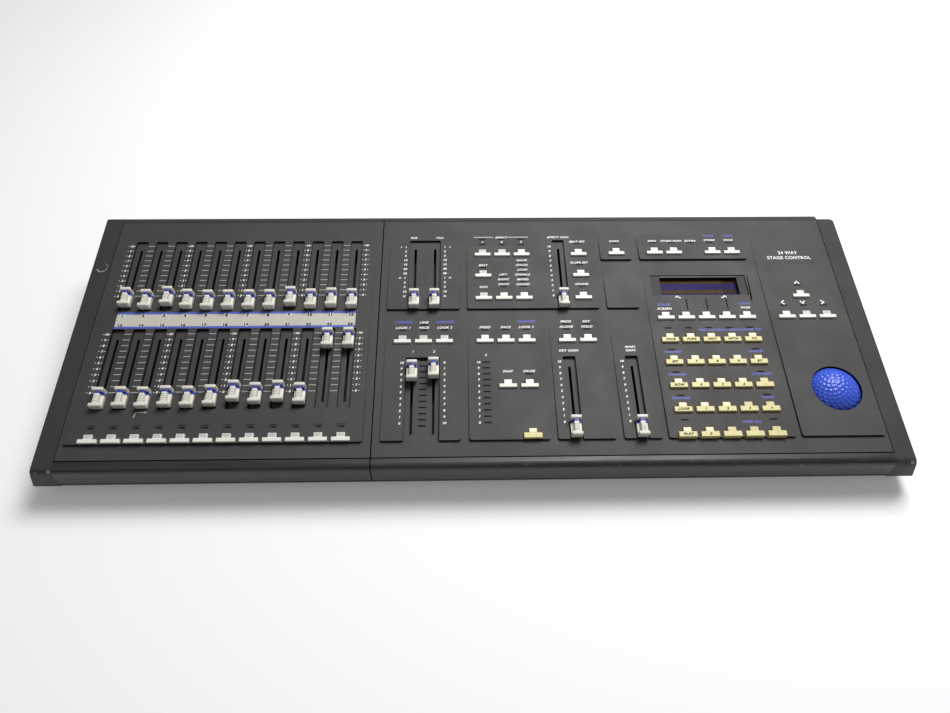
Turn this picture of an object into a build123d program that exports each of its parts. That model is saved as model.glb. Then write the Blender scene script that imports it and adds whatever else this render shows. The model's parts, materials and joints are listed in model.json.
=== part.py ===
from build123d import *
from math import cos, radians, sin
import os

# Lighting control desk: submaster faders, playback and keypad panel, trackball.
# Millimetres and degrees. The object stands on Z = 0, the operator is on the -Y side, and
# the origin is under the middle of the desk.
# The deck (panel) frame is (x, s, n): across the desk, up the slope from the panel's front
# edge, and out along the panel's normal. Most parts are modelled flat in it, then tilted.

# ---- Driving dimensions ----
PITCH = 19.05                     # grid of faders and keys, three quarters of an inch
SLOPE = 7.0                       # tilt of the panel
TOP_WIDTH = 734.0                 # across the top edges of the end cheeks
CHEEK = 17.0                      # width of an end cheek at the top
FLARE, FLARE_N = 7.5, -24.0       # spread of a cheek's outer face, and how far down it goes
GROOVE = 0.7                      # gap between a panel and a cheek
SEAM_X = -90.0                    # joint between the two panels
SEAM = 1.0                        # width of the gaps between panels and rail
PANEL_DEPTH = 254.5
PANEL_N = -4.2                    # underside of the panels
WELL_N = -2.2                     # floor of the fader wells
STEP = 2.2                        # height of a raised section at its front edge
TRIM = 6.0                        # rear flange of the tray, seen behind the panels
FRONT_Z = 42.0                    # height of the panel's front edge
NOSE = 10.3                       # reach of the front rail ahead of the panel edge
RAIL_DROP = 20.5                  # height of the rail's front face
LIP_DROP = 24.0                   # underside of the tray's front lip
SHEET = 1.5                       # thickness of the folded tray
FOOT_H = 4.0
PROUD = 2.2                       # reach of the rear connectors behind the tray

TRAVEL = 60.0                     # fader travel
LEVER_SET_BACK = 6.3              # from a scale mark down to the lever it reads
SLOT = (2.4, 65.5)
WELL_W = 11.5
WELL_BELOW, WELL_ABOVE = 17.0, 5.5
CAP_W, CAP_BACK, CAP_FRONT = 9.6, 7.4, 10.9
CAP_LOW, CAP_TOP = -1.2, 10.0

KEY_TRAVEL = 1.8
KEY_W, KEY_NECK = 15.6, 7.0
KEY_GAP = 0.4
# Depth front to back, depth of the front bar, and rise above the surface around the key
PLAIN_KEY, ENTRY_KEY = (7.7, 3.6, 2.2), (8.8, 4.9, 2.5)

BALL_R, BALL_HOLE_R, BALL_N = 25.4, 22.0, -14.6
ROLLER_R, ROLLER_GAP = 3.0, 0.3

# ---- Places across the desk and up the slope ----
SUB_X = [-325.0 + PITCH * i for i in range(12)]
A_X = [-67.0 + PITCH * i for i in range(3)]
B_X = [8.0 + PITCH * i for i in range(3)]
D_X = [83.0 + PITCH * i for i in range(2)]
E_X = 139.2
F_X = [177.0 + PITCH * i for i in range(5)]
G_X = [290.5 + PITCH * i for i in range(3)]
FADE_X = [(A_X[i] + A_X[i + 1]) / 2 for i in range(2)]
TOP_S, LOW_S, CONTROL_S = 164.5, 62.05, 30.0      # the zero marks of three rows of scales
FLASH_S = 17.8
KEYPAD_S = [18.3 + 23.7 * i for i in range(5)]
BALL_X, BALL_S = 316.8, 60.2
# Raised sections: x0, x1, back s, front s
SECTIONS = {
    "submaster": (-344.5, -97.5, 236.5, 13.5),
    "fade": (-82.5, -14.5, 236.5, 147.0),
    "playback": (-82.5, -14.5, 139.5, 14.0),
    "effects": (-7.5, 116.5, 236.5, 147.0),
    "stack": (-7.5, 61.0, 139.5, 14.0),
    "flash": (67.5, 117.0, 139.5, 14.0),
    "blackout": (123.5, 154.0, 237.5, 204.0),
    "spare": (123.5, 154.0, 194.5, 147.0),
    "grand": (123.5, 156.0, 139.5, 14.0),
    "record": (161.5, 267.5, 237.5, 204.0),
    "keypad": (161.5, 270.0, 195.5, 14.0),
    "cursor": (275.0, 346.5, 238.5, 14.5),
}
STRIP = (-329.8, -111.0, 128.0, 145.7, 0.25, 1.25)
DISPLAY = (169.0, 261.0, 161.5, 185.5)

# Rest positions in millimetres above each fader's zero
SUB_TOP = [3.4, 1.0, 4.4, 1.0, 0.0, 0.0, 0.0, 0.0, 3.4, 0.5, 1.5, 0.5]
SUB_LOW = [0.8, 1.3, 0.8, 1.8, 1.3, 2.3, 6.7, 4.2, 6.2, 3.7, 60.0, 60.0]
FADERS = {f"submaster_fader_{i + 1:02d}": (SUB_X[i], TOP_S, SUB_TOP[i]) for i in range(12)}
FADERS |= {f"submaster_fader_{i + 13:02d}": (SUB_X[i], LOW_S, SUB_LOW[i]) for i in range(12)}
FADERS |= {
    "fade_in_fader": (FADE_X[0], TOP_S, 0.0),
    "fade_out_fader": (FADE_X[1], TOP_S, 0.0),
    "effects_master_fader": (D_X[0], TOP_S, 0.0),
    "playback_fader_a": (FADE_X[0], CONTROL_S, 57.5),
    "playback_fader_b": (FADE_X[1], CONTROL_S, TRAVEL),
    "flash_level_fader": (D_X[0], CONTROL_S, 2.2),
    "grand_master_fader": (E_X, CONTROL_S, 1.8),
}
KEYS = {
    "submaster_flash_keys": [(x, FLASH_S) for x in SUB_X],
    "effects_keys": [(x, s) for x in B_X for s in (213.0, 160.4)] + [(B_X[0], 187.0)]
    + [(D_X[1], s) for s in (213.0, 187.0, 160.4)],
    "playback_keys": [(x, 114.1) for x in A_X + B_X + D_X] + [(x, 67.2) for x in B_X[1:]],
    "blackout_key": [(E_X, 213.0)],
    "go_key": [(B_X[2], 18.9)],
    "record_keys": [(F_X[i], 213.5) for i in (0, 1, 3, 4)],
    "display_keys": [(x, 137.7) for x in F_X],
    "keypad_keys": [(x, s) for s in KEYPAD_S for x in F_X],
    "cursor_keys": [(G_X[1], 161.6)] + [(x, 137.8) for x in G_X],
}
KEY_SHAPES = {name: ENTRY_KEY if name in ("go_key", "keypad_keys") else PLAIN_KEY for name in KEYS}

# ---- Worked-out values and frames ----
TILT_COS, TILT_SIN = cos(radians(SLOPE)), sin(radians(SLOPE))
HALF = TOP_WIDTH / 2
INNER = HALF - CHEEK
PANEL_END = INNER - GROOVE
SLOPE_END = PANEL_DEPTH + TRIM
FRONT_Y = (NOSE - PROUD - SLOPE_END * TILT_COS) / 2
NOSE_Y = FRONT_Y - NOSE
REAR_Y = FRONT_Y + SLOPE_END * TILT_COS
REAR_Z = FRONT_Z + SLOPE_END * TILT_SIN
DECK = Plane(origin=(0, FRONT_Y, FRONT_Z), x_dir=(1, 0, 0), z_dir=(0, -TILT_SIN, TILT_COS))
SIDE = Plane(origin=(0, 0, 0), x_dir=(0, 1, 0), z_dir=(1, 0, 0))
parts = {}


def deck_yz(s, n):
    """World Y and Z of a place in the deck frame."""
    return (FRONT_Y + s * TILT_COS - n * TILT_SIN, FRONT_Z + s * TILT_SIN + n * TILT_COS)


def slab(x0, x1, y0, y1, z0, z1):
    """Box from its limits."""
    return Pos((x0 + x1) / 2, (y0 + y1) / 2, (z0 + z1) / 2) * Box(x1 - x0, y1 - y0, z1 - z0)


def rod(radius, x, y, z0, z1):
    """Upright cylinder from its limits."""
    return Pos(x, y, (z0 + z1) / 2) * Cylinder(radius, z1 - z0)


def rounded_slab(x0, x1, y0, y1, z0, z1, radius):
    """Box whose upright corners are rounded."""
    outline = RectangleRounded(x1 - x0, y1 - y0, radius)
    return Pos((x0 + x1) / 2, (y0 + y1) / 2, z0) * extrude(outline, z1 - z0)


def prism(points, x0, x1):
    """Solid of a (y, z) outline run across the desk from x0 to x1."""
    face = make_face(Polyline(*points, close=True))
    return Pos(x0, 0, 0) * extrude(SIDE * face, x1 - x0)


def sheet_side(points, shift):
    """A chain of (y, z) points moved sideways by shift, with mitred corners."""
    places = [Vector(*point) for point in points]
    runs = [(b - a).normalized() for a, b in zip(places, places[1:])]
    runs = [runs[0]] + runs + [runs[-1]]
    moved = []
    for place, before, after in zip(places, runs, runs[1:]):
        mitre = (before + after).normalized().rotate(Axis.Z, 90)
        lean = mitre.dot(before.rotate(Axis.Z, 90))
        moved.append(place + mitre * (shift / lean))
    return [(point.X, point.Y) for point in moved]


def folded_sheet(points, thickness, x0, x1):
    """Sheet metal centred on a chain of (y, z) fold lines, x0 to x1."""
    outline = sheet_side(points, thickness / 2) + sheet_side(points, -thickness / 2)[::-1]
    return prism(outline, x0, x1)


def top_edges(solid):
    """Edges round the highest face."""
    return solid.faces().sort_by(Axis.Z)[-1].edges()


def surface(x, s):
    """Height of the panel's upper surface, raised sections included."""
    for x0, x1, back, front in SECTIONS.values():
        if x0 < x < x1 and front < s < back:
            return STEP * (back - s) / (back - front)
    return 0.0


def group(solids):
    """Separate solids that share a node."""
    return Compound(children=list(solids))


def deck(shape):
    """A part modelled flat, laid on the slope."""
    return DECK.location * shape


# ---- Fader levers, caps and tracks ----
def make_fader():
    """Cap and lever, with the lever's centre at the origin of the deck plane."""
    side = [(CAP_BACK, CAP_LOW), (CAP_BACK, 4.8), (-CAP_FRONT, 4.8), (-CAP_FRONT, 3.4), (1.5 - CAP_FRONT, CAP_LOW)]
    body = fillet(prism(side, -CAP_W / 2, CAP_W / 2).edges().filter_by(Axis.Z), 0.5)
    back_bar = slab(-CAP_W / 2, CAP_W / 2, 4.2, CAP_BACK, 4.0, CAP_TOP)
    front_bar = slab(-CAP_W / 2, CAP_W / 2, -CAP_FRONT, -7.6, 4.0, CAP_TOP - 0.5)
    web = slab(-2.3, 2.3, -8.0, 4.6, 4.0, CAP_TOP - 1.3)
    cap = body + fillet(top_edges(back_bar), 0.9) + fillet(top_edges(front_bar), 0.9) + web
    cap += [slab(-2.3, 2.3, s - 0.4, s + 0.4, CAP_TOP - 1.4, CAP_TOP - 0.7) for s in (-4.6, -2.4, -0.2)]
    lever = slab(-0.7, 0.7, -2.5, 2.5, -8.0, 4.0)
    carriage = slab(-2.4, 2.4, -3.5, 3.5, -11.5, -8.0)
    return group([cap - lever, lever + carriage])


def make_track():
    """Slide of one fader, centred on its slot, under the panel."""
    shell = slab(-4.2, 4.2, -38.5, 38.5, PANEL_N - 9.0, PANEL_N)
    channel = slab(-3.2, 3.2, -37.0, 37.0, PANEL_N - 9.0, PANEL_N - 1.0)
    mouth = slab(-1.3, 1.3, -34.0, 34.0, PANEL_N - 2.0, PANEL_N + 1.0)
    return shell - channel - mouth


def slot_centre(zero_s):
    """Middle of a fader's lever travel."""
    return zero_s - LEVER_SET_BACK + TRAVEL / 2


FADER = make_fader()
for name, (x, zero_s, rest) in FADERS.items():
    parts[name] = deck(Pos(x, zero_s - LEVER_SET_BACK + rest, 0) * FADER)
TRACK = make_track()
parts["fader_tracks"] = deck(group(Pos(x, slot_centre(zero_s), 0) * TRACK for x, zero_s, _ in FADERS.values()))


# ---- Keys and their switches ----
STEM_N = -9.0                     # end of a key's stem at rest


def make_key(shape, level):
    """T-shaped key cap with its stem, centred on its row; level is the local surface height."""
    depth, bar, rise = shape
    top, bottom = level + rise, PANEL_N + 0.6
    front = slab(-KEY_W / 2, KEY_W / 2, -depth / 2, bar - depth / 2, bottom, top)
    back = slab(-KEY_NECK / 2, KEY_NECK / 2, bar - depth / 2 - 1.0, depth / 2, bottom, top - 0.3)
    stem = slab(-2.0, 2.0, -2.0, 2.0, STEM_N, bottom)
    return fillet(top_edges(front), 0.55) + fillet(top_edges(back), 0.4) + stem


def key_hole(x, s, shape):
    """Cutter for the opening round one key."""
    depth, bar, _ = shape
    reach = depth / 2 + KEY_GAP
    front = slab(-KEY_W / 2 - KEY_GAP, KEY_W / 2 + KEY_GAP, -reach, bar - depth / 2 + KEY_GAP, -9, 6)
    back = slab(-KEY_NECK / 2 - KEY_GAP, KEY_NECK / 2 + KEY_GAP, 0, reach, -9, 6)
    return Pos(x, s, 0) * (front + back)


def make_switch():
    """Key switch under the panel, with the hole that its key's stem works in."""
    bore = slab(-2.4, 2.4, -2.4, 2.4, STEM_N - KEY_TRAVEL - 1.5, -7)
    return slab(-6, 6, -4.4, 4.4, -16, -8) - bore


for name, places in KEYS.items():
    shape = KEY_SHAPES[name]
    parts[name] = deck(group(Pos(x, s, 0) * make_key(shape, surface(x, s)) for x, s in places))
SWITCH = make_switch()
parts["key_switches"] = deck(group(Pos(x, s, 0) * SWITCH for places in KEYS.values() for x, s in places))


# ---- Panels ----
def raised_section(x0, x1, back, front):
    """Wedge that is flush at its back edge and a step high at its front edge."""
    footprint = rounded_slab(x0, x1, front, back, -1.0, STEP + 1.0, 2.0)
    wedge = prism([(back + 1, 0.0), (front - 1, STEP), (front - 1, -2.0), (back + 1, -2.0)], x0, x1)
    return footprint & wedge


def fader_well(x0, x1, zero_s):
    """Cutter for a sunk channel that one or more caps run in."""
    return rounded_slab(x0, x1, zero_s - WELL_BELOW, zero_s + TRAVEL + WELL_ABOVE, WELL_N, 6.0, 1.5)


def panel(x0, x1, sections, wells, cutters):
    """Deck plate with its raised sections, fader wells and openings."""
    plate = slab(x0, x1, 0.0, PANEL_DEPTH, PANEL_N, 0.0)
    plate += [raised_section(*SECTIONS[name]) for name in sections]
    slots = [
        Pos(x, slot_centre(zero_s), -5) * extrude(SlotOverall(SLOT[1], SLOT[0], rotation=90), 8)
        for x, zero_s, _ in FADERS.values() if x0 < x < x1
    ]
    holes = [
        key_hole(x, s, KEY_SHAPES[name])
        for name, places in KEYS.items() for x, s in places if x0 < x < x1
    ]
    return plate - wells - slots - holes - cutters


def single_well(x, zero_s):
    """Well for one fader."""
    return fader_well(x - WELL_W / 2, x + WELL_W / 2, zero_s)


sub_wells = [single_well(x, zero_s) for zero_s in (TOP_S, LOW_S) for x in SUB_X]
strip_pocket = slab(STRIP[0] - 0.2, STRIP[1] + 0.2, STRIP[2] - 0.2, STRIP[3] + 0.2, STRIP[4], 4.0)
parts["submaster_panel"] = deck(panel(-PANEL_END, SEAM_X - SEAM / 2, ["submaster"], sub_wells, [strip_pocket]))
parts["designation_strip"] = deck(slab(*STRIP))

control_wells = [fader_well(FADE_X[0] - 6.0, FADE_X[1] + 5.6, zero_s) for zero_s in (TOP_S, CONTROL_S)]
control_wells += [single_well(D_X[0], TOP_S), single_well(D_X[0], CONTROL_S), single_well(E_X, CONTROL_S)]
ball_hole = rod(BALL_HOLE_R, BALL_X, BALL_S, -9, 6) + Pos(BALL_X, BALL_S, BALL_N) * Sphere(BALL_R + 0.8)
window_hole = slab(DISPLAY[0] + 2, DISPLAY[1] - 2, DISPLAY[2] + 2, DISPLAY[3] - 2, -9, 6)
window_ledge = slab(*DISPLAY, -2.4, 6)
parts["control_panel"] = deck(panel(
    SEAM_X + SEAM / 2, PANEL_END, [name for name in SECTIONS if name != "submaster"],
    control_wells, [ball_hole, window_hole, window_ledge],
))
parts["display_window"] = deck(slab(
    DISPLAY[0] + 0.3, DISPLAY[1] - 0.3, DISPLAY[2] + 0.3, DISPLAY[3] - 0.3, -2.4, -0.6))
module_board = slab(DISPLAY[0] - 1, DISPLAY[1] + 1, DISPLAY[2] + 1, DISPLAY[3] + 4, -11.0, -9.4)
module_glass = slab(DISPLAY[0] + 6, DISPLAY[1] - 6, DISPLAY[2] + 3, DISPLAY[3] - 3, -9.4, -5.0)
parts["display_module"] = deck(group([module_board, module_glass]))


# ---- Trackball ----
REACH = BALL_R + ROLLER_GAP + ROLLER_R            # from the ball's centre to a roller's axis
DISC_AT, BEARING_AT = 14.3, 18.0                  # along a roller's shaft, from its middle
CUP_OUTER, CUP_INNER, CUP_LOW, CUP_MOUTH = 29.5, 26.4, -36.0, 17.5
SHAFT_R = 1.5


def roller(side):
    """Encoder shaft along X: a drive roller in the middle, a slotted disc towards one end."""
    shaft = Rot(0, 90, 0) * Cylinder(SHAFT_R, 2 * BEARING_AT + 2)
    drive = Rot(0, 90, 0) * Cylinder(ROLLER_R, 8)
    disc = Pos(side * DISC_AT, 0, 0) * Rot(0, 90, 0) * Cylinder(6, 0.8)
    slits = [Pos(side * DISC_AT, 0, 0) * Rot(30 * i, 0, 0) * Pos(0, 0, 4.6) * Box(3, 1.1, 1.6) for i in range(12)]
    return shaft + drive + (disc - slits)


def roller_bearings():
    """Two uprights with the bores that a roller's shaft turns in, down from the panel."""
    drop = PANEL_N - BALL_N
    uprights = [slab(i * BEARING_AT - 1.3, i * BEARING_AT + 1.3, -3.2, 3.2, -4, drop) for i in (-1, 1)]
    return (Part() + uprights) - Rot(0, 90, 0) * Cylinder(SHAFT_R + 0.05, 60)


AT_BALL = Pos(BALL_X, BALL_S, BALL_N)
BEHIND = AT_BALL * Pos(0, REACH, 0)
BESIDE = AT_BALL * Pos(-REACH, 0, 0) * Rot(0, 0, 90)
parts["trackball"] = deck(AT_BALL * Sphere(BALL_R))
parts["forward_encoder_roller"] = deck(BEHIND * roller(-1))
parts["sideways_encoder_roller"] = deck(BESIDE * roller(1))

cup = rod(CUP_OUTER, BALL_X, BALL_S, CUP_LOW, PANEL_N)
cup += slab(BALL_X - 33, BALL_X + 31, BALL_S - 31, BALL_S + 33, PANEL_N - 1.6, PANEL_N)
cup -= rod(CUP_INNER, BALL_X, BALL_S, CUP_LOW + 1.5, 0) + rod(CUP_MOUTH, BALL_X, BALL_S, CUP_LOW, 0)
window = slab(-22, 22, -16, 12, -9, PANEL_N - BALL_N - 1.6)
housing = cup - BEHIND * window - BESIDE * Rot(0, 0, 180) * window
parts["trackball_housing"] = deck(housing + BEHIND * roller_bearings() + BESIDE * roller_bearings())


# ---- Front rail and end cheeks ----
def nose_points(inset):
    """Ends and control points of the rail's rounded nose, moved in by a wall thickness."""
    start = deck_yz(-4.8, -inset)
    end = (NOSE_Y + inset, FRONT_Z - 12.5)
    pull_y, pull_z = deck_yz(-9.6 + inset * 0.8, -inset)
    return [start, (pull_y, pull_z), (NOSE_Y + inset, FRONT_Z - 4.5 - inset * 0.6), end]


def make_rail(x0, x1):
    """Hollow moulding with a rounded nose and a ledge that carries the panels."""
    wall = 2.2
    outer, inner = nose_points(0.0), nose_points(wall)
    outline = [
        Polyline(outer[3], (NOSE_Y, FRONT_Z - RAIL_DROP), (NOSE_Y + wall, FRONT_Z - RAIL_DROP), inner[3]),
        Bezier(*reversed(inner)),
        Polyline(inner[0], deck_yz(-3.4, -wall), deck_yz(-3.4, PANEL_N - 2), deck_yz(8, PANEL_N - 2),
                 deck_yz(8, PANEL_N), deck_yz(-SEAM, PANEL_N), deck_yz(-SEAM, 0), outer[0]),
        Bezier(*outer),
    ]
    return Pos(x0, 0, 0) * extrude(SIDE * make_face(outline), x1 - x0)


parts["front_rail"] = group([make_rail(-INNER, SEAM_X - SEAM / 2), make_rail(SEAM_X + SEAM / 2, INNER)])

CHAMFER_Y = NOSE_Y + 42.0         # where the underside levels out behind the sloping front
BASE_Z = FOOT_H
LIP_Z = FRONT_Z - LIP_DROP


def make_cheek(side):
    """End moulding on one side (-1 left, 1 right), open on its inner face."""
    outer = nose_points(0.0)
    outline = [
        Bezier(*outer),
        Polyline(outer[3], (NOSE_Y, LIP_Z), (NOSE_Y + 6, LIP_Z), (CHAMFER_Y, BASE_Z), (REAR_Y, BASE_Z),
                 (REAR_Y, REAR_Z), outer[0]),
    ]
    solid = Pos(INNER, 0, 0) * extrude(SIDE * make_face(outline), CHEEK + FLARE)
    reach = 3 * PANEL_DEPTH
    beyond = make_face(Polyline((HALF - FLARE, -FLARE_N), (HALF + FLARE, FLARE_N), (HALF + 40, FLARE_N),
                                (HALF + 40, -FLARE_N), close=True))
    section = Plane(origin=(0, -PANEL_DEPTH, 0), x_dir=(1, 0, 0), z_dir=(0, -1, 0))
    solid -= deck(extrude(section * beyond, -reach))
    rim = [e for e in solid.edges() if abs(e.center().X - HALF) < 3 and e.length > 3
           and e.center().Y < REAR_Y - 8 and abs(e.tangent_at(0.5).Y) > 0.5]
    solid = fillet(rim, 2.0)
    rear = [e for e in solid.edges() if e.center().Y > REAR_Y - 0.1 and e.center().X > HALF - 1
            and e.length > 8 and abs(e.tangent_at(0.5).Z) > 0.8]
    solid = fillet(rear, 7.0 if side > 0 else 1.5)
    inside = [
        deck_yz(0, -8), (NOSE_Y + 8, FRONT_Z - 16), (NOSE_Y + 8, LIP_Z + 5), (CHAMFER_Y + 2, BASE_Z + 4),
        (REAR_Y - 9, BASE_Z + 4), (REAR_Y - 9, REAR_Z - 10),
    ]
    solid -= prism(inside, INNER, HALF - 5)
    return solid if side > 0 else mirror(solid, about=Plane.YZ)


parts["left_end_cheek"] = make_cheek(-1)
parts["right_end_cheek"] = make_cheek(1)

# ---- Base tray ----
MID = SHEET / 2
BACK_LEDGE = [
    (REAR_Y - MID, REAR_Z - 1.0 - MID), deck_yz(PANEL_DEPTH + MID + 0.3, -MID),
    deck_yz(PANEL_DEPTH + MID + 0.3, PANEL_N - MID), deck_yz(PANEL_DEPTH - 9, PANEL_N - MID),
]
tray_line = [
    (NOSE_Y + 0.6, LIP_Z + MID), (NOSE_Y + 7, LIP_Z + MID), (CHAMFER_Y, BASE_Z + MID),
    (REAR_Y - MID, BASE_Z + MID), *BACK_LEDGE,
]
tray = folded_sheet(tray_line, SHEET, -INNER, INNER)

CONNECTOR_Z = 47.0
XLR_X = (59.0, 92.0)
VIDEO_X, MIDI_X, INLET_X, SWITCH_X = 143.0, 186.0, 240.0, 285.0


def rear_cylinder(radius, x, z, y0, y1):
    """Cylinder along Y from its limits."""
    return Pos(x, (y0 + y1) / 2, z) * Rot(90, 0, 0) * Cylinder(radius, y1 - y0)


rear_holes = [rear_cylinder(12.2, x, CONNECTOR_Z, REAR_Y - 5, REAR_Y + 2) for x in XLR_X]
rear_holes += [
    rear_cylinder(8.2, MIDI_X, CONNECTOR_Z, REAR_Y - 5, REAR_Y + 2),
    slab(VIDEO_X - 10.2, VIDEO_X + 10.2, REAR_Y - 5, REAR_Y + 2, CONNECTOR_Z - 5.7, CONNECTOR_Z + 5.7),
    slab(INLET_X - 14.2, INLET_X + 14.2, REAR_Y - 5, REAR_Y + 2, CONNECTOR_Z - 12.2, CONNECTOR_Z + 12.2),
    slab(SWITCH_X - 7.7, SWITCH_X + 7.7, REAR_Y - 5, REAR_Y + 2, CONNECTOR_Z - 12.2, CONNECTOR_Z + 12.2),
]
vents = [
    slab(x - 1.5, x + 1.5, REAR_Y - 5, REAR_Y + 2, 28, 56) for x in [-300 + 8 * i for i in range(12)]
]
parts["base_tray"] = tray - rear_holes - vents

# ---- Rear connectors and power switch ----


def plate_and_body(x, half_w, half_h, body_w, body_h, depth):
    """Panel connector: a flange on the tray's rear face and a body through it."""
    flange = slab(x - half_w, x + half_w, REAR_Y, REAR_Y + 1.6, CONNECTOR_Z - half_h, CONNECTOR_Z + half_h)
    body = slab(x - body_w, x + body_w, REAR_Y - depth, REAR_Y, CONNECTOR_Z - body_h, CONNECTOR_Z + body_h)
    return fillet(flange.edges().filter_by(Axis.Y), 1.2) + body


def xlr_socket(x):
    """Five-pin socket: flange, barrel and an insert with five contact holes."""
    flange = slab(x - 13, x + 13, REAR_Y, REAR_Y + 1.6, CONNECTOR_Z - 15.5, CONNECTOR_Z + 15.5)
    barrel = rear_cylinder(12.0, x, CONNECTOR_Z, REAR_Y - 22, REAR_Y + PROUD)
    ring = rear_cylinder(9.7, x, CONNECTOR_Z, REAR_Y - 12, REAR_Y + 5)
    insert = rear_cylinder(7.6, x, CONNECTOR_Z, REAR_Y - 13, REAR_Y + 1.4)
    pins = [Pos(x, 0, CONNECTOR_Z) * Rot(0, 72 * i, 0) * Pos(0, REAR_Y, 5.2) * Rot(90, 0, 0)
            * Cylinder(1.0, 12) for i in range(5)]
    return fillet(flange.edges().filter_by(Axis.Y), 1.5) + barrel - (ring - insert) - pins


midi = rear_cylinder(10.5, MIDI_X, CONNECTOR_Z, REAR_Y, REAR_Y + 1.6)
midi += rear_cylinder(8.0, MIDI_X, CONNECTOR_Z, REAR_Y - 12, REAR_Y)
midi -= [Pos(MIDI_X, 0, CONNECTOR_Z) * Rot(0, 45 * i - 90, 0) * Pos(0, REAR_Y, 5.0) * Rot(90, 0, 0)
         * Cylinder(0.9, 12) for i in range(5)]
video = plate_and_body(VIDEO_X, 15.5, 6.3, 10.0, 5.5, 10)
video -= [slab(VIDEO_X + dx * 2.3 - 0.5, VIDEO_X + dx * 2.3 + 0.5, REAR_Y - 5, REAR_Y + 3,
               CONNECTOR_Z + dz - 0.5, CONNECTOR_Z + dz + 0.5) for dx in range(-2, 3) for dz in (-2.2, 0, 2.2)]
inlet = plate_and_body(INLET_X, 20.0, 14.0, 14.0, 12.0, 24)
inlet -= slab(INLET_X - 12.5, INLET_X + 12.5, REAR_Y - 17, REAR_Y + 3, CONNECTOR_Z - 8.5, CONNECTOR_Z + 8.5)
inlet += [slab(INLET_X + dx - 1, INLET_X + dx + 1, REAR_Y - 18, REAR_Y - 6, CONNECTOR_Z + dz - 2,
               CONNECTOR_Z + dz + 2) for dx, dz in ((-7, -2.5), (0, 2.5), (7, -2.5))]
switch_frame = plate_and_body(SWITCH_X, 9.5, 14.0, 7.5, 12.0, 14)
switch_frame -= slab(SWITCH_X - 6, SWITCH_X + 6, REAR_Y - 13, REAR_Y + 3, CONNECTOR_Z - 10.4, CONNECTOR_Z + 10.4)
parts["rear_connectors"] = group([xlr_socket(x) for x in XLR_X] + [video, midi, inlet, switch_frame])

ROCKER_TILT = 9.0
rocker_side = [(1.8, 9.0), (-8.0, 5.0), (-8.0, -5.0), (1.8, -9.0)]
rocker = fillet(prism(rocker_side, -5.6, 5.6).edges().filter_by(Axis.X).sort_by(Axis.Y)[-2:], 1.0)
parts["power_switch_rocker"] = Pos(SWITCH_X, REAR_Y - 0.6, CONNECTOR_Z) * Rot(-ROCKER_TILT, 0, 0) * rocker

# ---- Electronics, feet and screws ----
BOARD_N = -16.0
boards = [
    slab(-344, -96, 6, 227, BOARD_N - 1.6, BOARD_N),
    slab(-84, 272, 6, 227, BOARD_N - 1.6, BOARD_N),
    slab(278, 346, 125, 227, BOARD_N - 1.6, BOARD_N),
]
chips = [
    slab(x, x + 36, s, s + 14, BOARD_N - 5.6, BOARD_N - 1.6) for x in (-60, 0, 60, 120) for s in (150, 190)
]
chips += [slab(x, x + 20, s, s + 8, BOARD_N - 5.0, BOARD_N - 1.6) for x in range(-330, -110, 44) for s in (60, 180)]
power_supply = slab(-60, 40, 20, 100, BASE_Z + SHEET, BASE_Z + SHEET + 28)
parts["circuit_boards"] = group([deck(piece) for piece in boards + chips] + [power_supply])

FOOT_Y = (CHAMFER_Y + 14, REAR_Y - 18)
feet = [rod(8.0, x, y, 0.0, FOOT_H) for x in (-325.0, 0.0, 325.0) for y in FOOT_Y]
parts["feet"] = group(fillet(foot.faces().sort_by(Axis.Z)[0].edges(), 0.8) for foot in feet)


def pan_head_screw(x, z):
    """Screw through the tray's rear wall."""
    head = fillet(rear_cylinder(3.0, x, z, REAR_Y, REAR_Y + 1.8).faces().sort_by(Axis.Y)[-1].edges(), 0.9)
    cross = [Rot(0, a, 0) * Box(3.2, 1.6, 0.7) for a in (0, 90)]
    return head - [Pos(x, REAR_Y + 1.8, z) * c for c in cross]


parts["case_screws"] = group(pan_head_screw(x, REAR_Z - 7.0) for x in [-320 + 64 * i for i in range(11)])

# ---- Write one file for each node ----
os.makedirs("parts", exist_ok=True)
for name, shape in parts.items():
    export_step(shape, f"parts/{name}.step")
print(len(parts), "nodes")
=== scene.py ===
import json
import math

import bmesh
import bpy
import numpy as np
from mathutils import Matrix, Vector
from mathutils.bvhtree import BVHTree

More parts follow.
